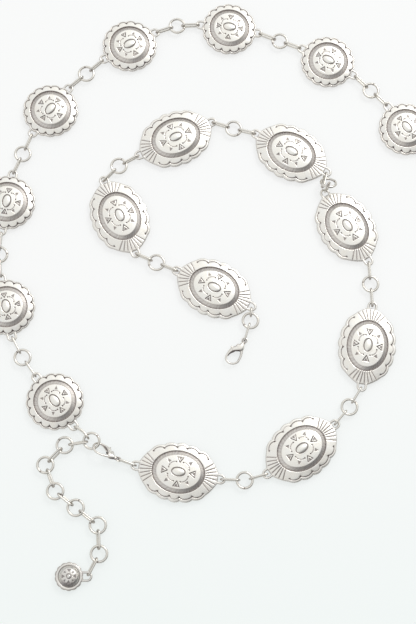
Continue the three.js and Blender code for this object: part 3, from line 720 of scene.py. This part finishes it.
def on_line(p, q, slack, heights=(LIE, LIE), reach=LINK_REACH):
    run = math.sqrt(reach ** 2 - (heights[1] - heights[0]) ** 2)
    u = unit(np.array([q[0] - p[0], q[1] - p[1]]))
    a = np.array([p[0] + u[0] * slack, p[1] + u[1] * slack, heights[0]])
    b = np.array([p[0] + u[0] * (slack + run), p[1] + u[1] * (slack + run), heights[1]])
    return a, b


for k, (name, x, y, z, nx, ny) in enumerate(EXTENSION):
    chain_piece(name + "_look", [ring_part((x, y, z), (nx, ny, math.sqrt(1 - nx * nx - ny * ny)), cut_turn=40 + 97 * k)], (name,))
ext = [np.array(e[1:4]) for e in EXTENSION]
chain_piece("ext_link_0_look", [link_part(*on_line(lug_at[("round_8", 1)], ext[0], 0.7, (LIE, 2.5)), bow=0.9)], ("ext_link_0",))
for i in range(6):
    slack = (math.hypot(*(ext[i + 1] - ext[i])[:2]) - LINK_REACH) / 2
    chain_piece("ext_link_%d_look" % (i + 1), [link_part(*on_line(ext[i], ext[i + 1], slack), roll=(20, -18, 22, -20, 18, 22)[i])], ("ext_link_%d" % (i + 1),))
drop_lug = np.array([DROP_AT[0] + polar(DROP_LUG, DROP_AT[2])[0], DROP_AT[1] + polar(DROP_LUG, DROP_AT[2])[1], LIE])
chain_piece("ext_link_7_look", [link_part(*on_line(ext[6], drop_lug, 2.58), roll=20)], ("ext_link_7",))

chain_piece("clasp_1_link_look", [link_part(*on_line(lug_at[("oval_1", 0)], CLASPS[0][1:3], 0.0, (2.11, 2.9)))], ("clasp_1_link",))
end_ring = np.array([END_RING[0], END_RING[1], LIE])
chain_piece("oval_end_ring_look", [ring_part(end_ring, cut_turn=215)], ("oval_end_ring",))
chain_piece("oval_end_link_look", [link_part(*on_line(lug_at[("oval_8", 1)], end_ring, 0.77, reach=4.65))], ("oval_end_link",))
chain_piece("oval_end_connector_look", [link_part(*on_line(end_ring, CLASPS[1][1:3], 1.8))], ("oval_end_connector",))

start = lug_at[("round_1", 1)]
middle = start + np.array([*polar(FAR_END["ring_reach"], FAR_END["ring_turn"]), 0])
along = np.array([*polar(1, FAR_END["clasp_turn"]), 0])
parts = [ring_part(middle, cut_turn=130)]
for u in (unit(start - middle), along):
    parts.append(link_part(middle + u * RING_SIDE, middle + u * LUG_SIDE))
chain_piece("round_end_gap_look", parts, ("round_end_gap",))

# ------------------------------------------------------------------ drop
DROP_N, DROP_SCALLOPS = 168, 14
DROP_ROWS = [  # radius, height, darkness
    (0.35, 5.45, 0.05), (0.7, 5.36, 0.08), (0.95, 5.20, 0.15), (1.12, 4.96, 0.6), (1.28, 4.84, 0.8), (1.45, 4.90, 0.4),
    (1.7, 4.98, 0.15), (1.95, 4.95, 0.12), (2.2, 4.90, 0.12), (2.4, 4.86, 0.12), (2.6, 4.81, 0.12), (2.8, 4.76, 0.12),
    (3.0, 4.70, 0.12), (3.2, 4.63, 0.12), (3.4, 4.55, 0.12), (3.6, 4.46, 0.12), (3.8, 4.36, 0.12), (4.05, 4.21, 0.10),
    (4.35, 4.0, 0.08), (4.65, 3.75, 0.08), (4.95, 3.46, 0.08), (5.25, 3.12, 0.12), (5.45, 2.88, 0.25), (5.58, 2.74, 0.75),
    (5.70, 2.72, 0.8), (5.82, 2.84, 0.3), (6.0, 2.92, 0.08), (6.3, 2.94, 0.05), (6.5, 2.92, 0.05)]


def drop_mesh():
    t = np.arange(DROP_N) * 2 * np.pi / DROP_N
    u = (np.degrees(t) / (360 / DROP_SCALLOPS)) % 1.0
    edge = 7.08 + 0.45 * np.abs(np.sin(np.pi * u)) ** 0.8
    rows, tones = [], []
    for r, z, tone in DROP_ROWS:
        P = np.stack([r * np.cos(t), r * np.sin(t)], 1)
        d = np.zeros(len(P)); dk = np.zeros(len(P))
        if 1.9 < r < 4.2:
            for k in range(8):
                turn = 45 * k
                c, s = polar(1, turn)
                Q = np.stack([P[:, 0] * c + P[:, 1] * s, -P[:, 0] * s + P[:, 1] * c], 1)
                big = k % 2 == 0
                tri = [(1.95, 0), (3.85, 1.12), (3.85, -1.12)] if big else [(2.25, 0), (3.5, 0.72), (3.5, -0.72)]
                m = smoothstep((triangle_depth(Q, tri) + 0.08) / 0.2)
                d = np.maximum(d, 0.20 * m); dk = np.maximum(dk, 0.9 * m)
        # painted shade on the side away from the light, as a crescent inside the dome's foot
        shade_crescent = np.exp(-((np.degrees(t) - 262 + 180) % 360 - 180) ** 2 / (2 * 38.0 ** 2)) * smoothstep((r - 2.6) / 1.6) * (1 - smoothstep((r - 5.3) / 0.3))
        rows.append(np.column_stack([P, z - d])); tones.append(np.maximum(np.maximum(tone, 0.8 * dk), 0.82 * shade_crescent))
    for s, z, tone in ((0.30, 2.88, 0.2), (0.5, 2.74, 0.75), (0.66, 2.76, 0.5), (0.85, 2.68, 0.12), (1.0, 2.42, 0.15)):
        r = 6.5 + (edge - 6.5) * s
        rows.append(np.column_stack([r * np.cos(t), r * np.sin(t), np.full(len(t), z)])); tones.append(np.full(len(t), tone))
    for k, z in ((1.0, 1.6), (0.99, 1.15), (0.965, 1.0)):
        rows.append(np.column_stack([edge * k * np.cos(t), edge * k * np.sin(t), np.full(len(t), z)])); tones.append(np.full(len(t), 0.3))
    verts = np.vstack([[[0, 0, 5.3]]] + rows + [[[0, 0, 1.0]]])
    pat = np.concatenate([[0.1]] + tones + [[0.3]])
    n = DROP_N
    faces = [(0, 1 + i, 1 + (i + 1) % n) for i in range(n)]
    for k in range(len(rows) - 1):
        a, b = 1 + k * n, 1 + (k + 1) * n
        faces += [(a + i, b + i, b + (i + 1) % n, a + (i + 1) % n) for i in range(n)]
    a = 1 + (len(rows) - 1) * n
    faces += [(a + i, len(verts) - 1, a + (i + 1) % n) for i in range(n)]
    return verts, faces, pat


v, f, p = all_in_mm([drop_mesh(), lug_mesh(DROP_LUG, 1)])
drop = mesh_object("drop_look", v, f, p)
drop.matrix_world = turned(DROP_AT[0], DROP_AT[1], 0, DROP_AT[2])
dress(drop, DARK, nodes=("drop",))


# ------------------------------------------------------------------ clasps
# x from the eye along the clasp; the side that opens is -y. Body: centre line, half width, half thickness.
BODY = [
    (0.95, 0.05, 0.68, 0.6), (1.2, 0.1, 1.12, 0.92), (1.5, 0.15, 1.24, 1.05), (1.85, 0.2, 1.16, 1.02),
    (2.15, 0.22, 1.02, 1.0), (2.6, 0.2, 1.2, 1.2), (3.2, 0.16, 1.56, 1.34), (4.0, 0.04, 2.04, 1.45),
    (5.0, -0.16, 2.45, 1.5), (5.8, -0.52, 2.62, 1.48), (6.4, -1.02, 2.52, 1.42), (6.95, -1.7, 2.2, 1.36),
    (7.4, -2.25, 1.94, 1.3), (7.8, -2.68, 1.72, 1.26), (8.2, -3.02, 1.52, 1.22), (8.6, -3.3, 1.3, 1.18), (9.0, -3.5, 0.8, 0.9)]
HOOK = [
    (4.6, 1.0, 0.95), (5.6, 1.35, 0.86), (6.8, 1.95, 0.74), (8.0, 2.4, 0.66), (9.4, 2.75, 0.60), (10.8, 2.82, 0.58),
    (12.2, 2.78, 0.57), (13.45, 2.15, 0.57), (14.5, 1.1, 0.57), (15.15, -0.4, 0.57), (15.1, -1.8, 0.57),
    (14.6, -3.0, 0.57), (13.75, -3.82, 0.58), (12.9, -4.12, 0.58), (12.0, -4.2, 0.58)]
HOOK_FLAT = 0.86  # its thickness against its width
LEVER_ARM = [  # x, y, half width, half thickness
    (4.6, -1.3, 1.0, 0.9), (5.6, -1.62, 1.12, 1.0), (6.4, -2.12, 1.35, 1.1), (7.1, -2.55, 1.5, 1.18),
    (7.8, -2.9, 1.5, 1.2), (8.2, -3.1, 1.46, 1.2), (8.7, -3.34, 1.36, 1.18), (9.3, -3.6, 1.2, 1.1),
    (9.9, -3.8, 1.06, 1.0), (10.6, -3.95, 0.92, 0.88), (11.3, -4.0, 0.82, 0.76), (12.5, -4.1, 0.70, 0.62)]
SHOULDER = (4.05, 4.16)  # from the pivot: where the cheeks end, where the lever's thick part begins
TAB = [(6.95, -3.0, 0.66), (6.85, -4.0, 0.54), (6.7, -4.75, 0.36)]
PIVOT = (4.6, -1.3)


def smooth_path(rows, per=5):
    """A Catmull-Rom run through table rows, every column alike."""
    R = np.asarray(rows, float)
    out = []
    for i in range(len(R) - 1):
        p0, p1, p2, p3 = R[max(i - 1, 0)], R[i], R[i + 1], R[min(i + 2, len(R) - 1)]
        for t in np.linspace(0, 1, per, endpoint=False):
            out.append(0.5 * ((2 * p1) + (-p0 + p2) * t + (2 * p0 - 5 * p1 + 4 * p2 - p3) * t * t + (-p0 + 3 * p1 - 3 * p2 + p3) * t ** 3))
    out.append(R[-1])
    return np.array(out)


def superloft(rows, sides=24, power=0.95):
    """Sections square to x, rounded boxes of the given half width and half thickness, closed at both ends."""
    R = smooth_path(rows, 3)
    verts = []
    for x, y, w, t in R:
        for k in range(sides):
            a = 2 * math.pi * k / sides
            c, s = math.cos(a), math.sin(a)
            verts.append((x, y + w * math.copysign(abs(c) ** power, c), t * math.copysign(abs(s) ** power, s)))
    n = len(R)
    faces = []
    for i in range(n - 1):
        for k in range(sides):
            l = (k + 1) % sides
            faces.append((i * sides + k, i * sides + l, (i + 1) * sides + l, (i + 1) * sides + k))
    verts += [(R[0][0], R[0][1], 0), (R[-1][0], R[-1][1], 0)]
    a, b = len(verts) - 2, len(verts) - 1
    for k in range(sides):
        l = (k + 1) % sides
        faces.append((l, k, a))
        faces.append(((n - 1) * sides + k, (n - 1) * sides + l, b))
    return np.array(verts), outward(verts, faces)


def cylinder(x, y, r, z0, z1, sides=24):
    verts = [(x + r * math.cos(2 * math.pi * k / sides), y + r * math.sin(2 * math.pi * k / sides), z) for z in (z0, z1) for k in range(sides)]
    faces = [(k, (k + 1) % sides, sides + (k + 1) % sides, sides + k) for k in range(sides)]
    faces += [tuple(reversed(range(sides))), tuple(range(sides, 2 * sides))]
    return np.array(verts), outward(verts, faces)


def prism(points, z0, z1):
    n = len(points)
    verts = [(x, y, z0) for x, y in points] + [(x, y, z1) for x, y in points]
    faces = [(k, (k + 1) % n, n + (k + 1) % n, n + k) for k in range(n)] + [tuple(reversed(range(n))), tuple(range(n, 2 * n))]
    return np.array(verts), outward(verts, faces)


def torus(r, w, up, steps=28, sides=12):
    t = np.linspace(0, 2 * np.pi, steps, endpoint=False)
    path = np.stack([r * np.cos(t), r * np.sin(t), 0 * t], 1)
    v, f = sweep(path, np.tile([w, up], (steps, 1)), closed=True, sides=sides)
    return v, outward(v, f)


def carved(name, base, adds=(), cuts=()):
    """Exact booleans of small closed meshes, applied, as a (verts, faces) pair in millimetres."""
    scene = bpy.context.scene
    def temp(k, vf):
        me = bpy.data.meshes.new("%s_t%d" % (name, k))
        me.from_pydata([tuple(q) for q in vf[0]], [], [tuple(q) for q in vf[1]])
        me.update()
        o = bpy.data.objects.new(me.name, me)
        scene.collection.objects.link(o)
        return o
    main = temp(0, base)
    tools = []
    for k, (op, vf) in enumerate([("UNION", a) for a in adds] + [("DIFFERENCE", c) for c in cuts]):
        o = temp(k + 1, vf)
        tools.append(o)
        mod = main.modifiers.new("b%d" % k, "BOOLEAN")
        mod.operation, mod.object, mod.solver = op, o, "EXACT"
    dg = bpy.context.evaluated_depsgraph_get()
    me = bpy.data.meshes.new_from_object(main.evaluated_get(dg))
    bm = bmesh.new(); bm.from_mesh(me)
    bmesh.ops.remove_doubles(bm, verts=bm.verts, dist=1e-4)
    bmesh.ops.dissolve_degenerate(bm, edges=bm.edges, dist=1e-5)
    bm.verts.ensure_lookup_table()
    V = np.array([v.co[:] for v in bm.verts]); F = [tuple(v.index for v in f.verts) for f in bm.faces]
    bm.free()
    for o in [main] + tools:
        bpy.data.objects.remove(o)
    return V, F


def clasp_shapes():
    pin = (PIVOT[0], PIVOT[1])
    hook = smooth_path(HOOK, 4)
    hv, hf = sweep(np.column_stack([hook[:, :2], np.zeros(len(hook))]), hook[:, 2:3] * np.array([[1.0, HOOK_FLAT]]), sides=14)
    ev, ef = torus(1.3, 0.42, 0.42)
    slot = prism([(2.7, 0.6), (9.5, 0.6), (9.5, -6.0), (2.7, -6.0)], -0.93, 0.93)
    # the nose is trimmed first, so that the cheeks keep their shape
    hv, hf = carved("hook", (hv, outward(hv, hf)), cuts=[prism([(8.5, -2.0)] + [tuple(np.array(pin) + polar(8.2, t)) for t in range(-14, -45, -3)] + [(8.5, -6.5)], -2, 2)])
    ends = prism([tuple(np.array(pin) + polar(SHOULDER[0], t)) for t in range(20, -91, -5)] + [(4.6, -12), (16, -12), (16, 0.1)], -2, 2)
    cheeks = carved("cheeks", superloft(BODY), cuts=[ends])
    body = carved("body", (cheeks[0], outward(*cheeks)), adds=[(hv, hf), (ev, ef)], cuts=[slot])
    rivet = cylinder(pin[0], pin[1], 0.5, -1.36, 1.36, 20)
    body = carved("body2", body, adds=[rivet, cylinder(pin[0], pin[1], 0.72, 1.2, 1.5, 20), cylinder(pin[0], pin[1], 0.72, -1.5, -1.2, 20)])
    arm = smooth_path(LEVER_ARM, 4)
    av, af = sweep(np.column_stack([arm[:, :2], np.zeros(len(arm))]), arm[:, 2:4], sides=18)
    tab = smooth_path(TAB, 4)
    tv, tf = sweep(np.column_stack([tab[:, :2], np.zeros(len(tab))]), np.column_stack([tab[:, 2], np.full(len(tab), 0.64)]), sides=12)
    tip = prism([tuple(np.array(pin) + polar(8.05, t)) for t in range(-6, -50, -3)] + [(16, -12), (16, 2)], -2, 2)
    arm = carved("arm", (av, outward(av, af)), cuts=[cylinder(pin[0], pin[1], SHOULDER[1], 0.64, 2.5, 72), cylinder(pin[0], pin[1], SHOULDER[1], -2.5, -0.64, 72), tip])
    lever = carved("lever", (arm[0], outward(*arm)), adds=[(tv, outward(tv, tf)), cylinder(pin[0], pin[1], 1.2, -0.64, 0.64, 28)],
                   cuts=[cylinder(pin[0], pin[1], 0.62, -2, 2, 24)])
    return body, lever


# Where the painted shade on the inner side of the thick arm begins, x and y.
SHADED_INNER_SIDE = [(4.6, 3.0), (5.2, 1.5), (6.1, 0.5), (6.9, -0.75), (7.85, -2.2), (8.7, -2.85), (9.65, -3.4), (11.5, -3.85), (12.2, -3.9)]


def clasp_matrix(x, y, z, turn, roll, pitch):
    return (Matrix.Translation(Vector(((x - MIDDLE[0]) * MM, (y - MIDDLE[1]) * MM, z * MM)))
            @ Matrix.Rotation(math.radians(turn), 4, "Z") @ Matrix.Rotation(math.radians(-pitch), 4, "Y")
            @ Matrix.Rotation(math.radians(roll), 4, "X"))


def shade_by_angle(ob, degrees):
    """Smooth except across real edges."""
    me = ob.data
    bm = bmesh.new(); bm.from_mesh(me)
    for e in bm.edges:
        e.smooth = len(e.link_faces) != 2 or e.calc_face_angle(0) < math.radians(degrees)
    bm.to_mesh(me); bm.free()


clasp_body, clasp_lever = clasp_shapes()
for key, x, y, z, turn, roll, pitch in CLASPS:
    M = clasp_matrix(x, y, z, turn, roll, pitch)
    for part, (V, F), base, body in (("body", clasp_body, 0.04, "root"), ("lever", clasp_lever, 0.06, key + "_lever")):
        pat = np.full(len(V), base)
        # painted shade along the inner side wall of body and lever, which faces down and inwards
        edge = np.interp(V[:, 0], *np.array(SHADED_INNER_SIDE).T)
        inner = smoothstep((V[:, 1] - edge + 0.1) / 0.45) * (V[:, 0] > 4.6)
        if part == "body":
            pat = np.where((V[:, 0] > 8) | (V[:, 1] > 1.6) & (V[:, 0] > 5.5), 0.16, pat)
            inner *= V[:, 1] < np.interp(V[:, 0], [r[0] for r in HOOK[:9]], [r[1] - 0.8 * r[2] for r in HOOK[:9]])
        if roll:
            inner *= smoothstep((V[:, 2] - 0.15) / 0.5)
        pat = np.maximum(pat, 0.9 * inner * (V[:, 0] < 12.2))
        if part == "body":
            pat = np.where((np.abs(V[:, 2]) < 0.97) & (V[:, 0] > 2.6) & (V[:, 0] < 9) & (V[:, 1] < 0.65), 0.9, pat)
            # painted shade: a dark slit across the neck and round the inside of the eye
            pat = np.maximum(pat, 0.5 * np.exp(-((V[:, 0] - 1.2) / 0.5) ** 2))
            pat = np.maximum(pat, 0.85 * (np.hypot(V[:, 0], V[:, 1]) < 1.15))
            # painted shade on the body's lower flank near the eye, for the rolled clasp
            if roll:
                shade = smoothstep((V[:, 1] - 0.6) / 0.7) * smoothstep((0.95 - V[:, 2]) / 0.8)
                shade *= smoothstep((V[:, 0] - 1.2) / 0.8) * smoothstep((5.6 - V[:, 0]) / 0.9)
                pat = np.maximum(pat, 0.85 * shade)
        else:
            pat = np.maximum(pat, 0.5 * (V[:, 0] < 6.2))
            # painted shade on the thumb tab, dulling its glint
            pat = np.maximum(pat, 0.35 * (V[:, 1] < -4.2) * (V[:, 0] < 7.6))
        ob = mesh_object("%s_%s_look" % (key, part), V * MM, F, pat)
        ob.matrix_world = M
        shade_by_angle(ob, 42)
        dress(ob, CAST, body=body, nodes=("%s_%s" % (key, part),))

# The clasp beyond the last round concho: one plain piece.
eye = middle + along * FAR_END["clasp_reach"]
V, F = carved("plain", superloft(BODY), adds=[(lambda s: (s[0], outward(*s)))(sweep(np.column_stack([smooth_path(HOOK + [(10.8, -3.95, 0.6), (9.6, -3.6, 0.66), (8.0, -3.1, 0.75), (6.8, -2.4, 0.8)], 4)[:, :2], np.zeros((len(HOOK) + 4 - 1) * 4 + 1)]),
                                                      smooth_path(HOOK + [(10.8, -3.95, 0.6), (9.6, -3.6, 0.66), (8.0, -3.1, 0.75), (6.8, -2.4, 0.8)], 4)[:, 2], sides=14)), torus(1.3, 0.42, 0.42)])
plain = mesh_object("end_clasp_look", V * MM, F, np.full(len(V), 0.12))
plain.matrix_world = clasp_matrix(eye[0], eye[1], LIE, FAR_END["clasp_turn"], 0, 0)
shade_by_angle(plain, 42)
dress(plain, CAST, nodes=("end_clasp",))

# ------------------------------------------------------------------ floor, light
floor_mesh = bpy.data.meshes.new("floor")
floor_mesh.from_pydata([(-3, -3, 0), (3, -3, 0), (3, 3, 0), (-3, 3, 0)], [], [(0, 1, 2, 3)])
floor = bpy.data.objects.new("floor", floor_mesh)
bpy.context.scene.collection.objects.link(floor)
floor.location.z = -0.0002
fm = bpy.data.materials.new("floor")
fm.use_nodes = True
fb = fm.node_tree.nodes["Principled BSDF"]
# The floor glows, painted light that keeps shadows on it faint; the glow is darker and greener towards -Y.
fb.inputs["Base Color"].default_value = (0.24, 0.245, 0.245, 1)
fb.inputs["Emission Strength"].default_value = 0.70
fc = fm.node_tree.nodes.new("ShaderNodeTexCoord")
fs = fm.node_tree.nodes.new("ShaderNodeSeparateXYZ")
fr = fm.node_tree.nodes.new("ShaderNodeMapRange")
fr.inputs["From Min"].default_value, fr.inputs["From Max"].default_value = -0.20, 0.0
fg = fm.node_tree.nodes.new("ShaderNodeValToRGB")
fg.color_ramp.elements[0].color = (0.915, 0.972, 0.955, 1)
fg.color_ramp.elements[1].color = (0.995, 1.0, 0.995, 1)
fm.node_tree.links.new(fc.outputs["Object"], fs.inputs[0])
fm.node_tree.links.new(fs.outputs["Y"], fr.inputs["Value"])
fm.node_tree.links.new(fr.outputs["Result"], fg.inputs["Fac"])
fm.node_tree.links.new(fg.outputs["Color"], fb.inputs["Emission Color"])
fb.inputs["Roughness"].default_value = 0.7
fb.inputs["Specular IOR Level"].default_value = 0.15
floor_mesh.materials.append(fm)

world = bpy.data.worlds.new("studio")
bpy.context.scene.world = world
world.use_nodes = True
wn, wl = world.node_tree.nodes, world.node_tree.links
bg = wn["Background"]
geo = wn.new("ShaderNodeTexCoord")
dot = wn.new("ShaderNodeVectorMath"); dot.operation = "DOT_PRODUCT"
DARK_SIDE = unit((0.64, -0.72, 0.25))
dot.inputs[1].default_value = tuple(DARK_SIDE)
wl.new(geo.outputs["Generated"], dot.inputs[0])
wr = wn.new("ShaderNodeValToRGB")
wr.color_ramp.elements[0].position = 0.32; wr.color_ramp.elements[0].color = (1.0, 1.0, 1.0, 1)
wr.color_ramp.elements[1].position = 1.0; wr.color_ramp.elements[1].color = (0.22, 0.22, 0.23, 1)
for at, v in ((0.60, 0.84), (0.80, 0.42)):
    wr.color_ramp.elements.new(at).color = (v, v, v, 1)
wl.new(dot.outputs["Value"], wr.inputs["Fac"])
bright = wn.new("ShaderNodeVectorMath"); bright.operation = "DOT_PRODUCT"
bright.inputs[1].default_value = tuple(unit((0.55, 0.75, 0.37)))
wl.new(geo.outputs["Generated"], bright.inputs[0])
br = wn.new("ShaderNodeMapRange")
br.inputs["From Min"].default_value, br.inputs["From Max"].default_value = 0.25, 0.92
br.inputs["To Min"].default_value, br.inputs["To Max"].default_value = 0.86, 1.10
wl.new(bright.outputs["Value"], br.inputs["Value"])
up = wn.new("ShaderNodeSeparateXYZ")
wl.new(geo.outputs["Generated"], up.inputs[0])
hr = wn.new("ShaderNodeMapRange")
hr.interpolation_type = "SMOOTHSTEP"
hr.inputs["From Min"].default_value, hr.inputs["From Max"].default_value = 0.04, 0.40
hr.inputs["To Min"].default_value, hr.inputs["To Max"].default_value = 0.40, 1.0
wl.new(up.outputs["Z"], hr.inputs["Value"])
both = wn.new("ShaderNodeMath"); both.operation = "MULTIPLY"
wl.new(br.outputs["Result"], both.inputs[0]); wl.new(hr.outputs["Result"], both.inputs[1])
shade = wn.new("ShaderNodeVectorMath"); shade.operation = "SCALE"
wl.new(wr.outputs["Color"], shade.inputs[0]); wl.new(both.outputs[0], shade.inputs["Scale"])
wl.new(shade.outputs[0], bg.inputs["Color"])
bg.inputs["Strength"].default_value = 1.08


def area(name, at, aim, size, power, color=(1, 1, 1)):
    light = bpy.data.lights.new(name, "AREA")
    light.shape, light.size, light.energy, light.color = "SQUARE", size, power, color
    ob = bpy.data.objects.new(name, light)
    bpy.context.scene.collection.objects.link(ob)
    ob.location = at
    ob.rotation_euler = (Vector(aim) - Vector(at)).to_track_quat("-Z", "Y").to_euler()
    return ob


area("key", (0.75, 0.95, 1.25), (0, 0, 0), 0.6, 7.0, (1.0, 0.99, 0.97))
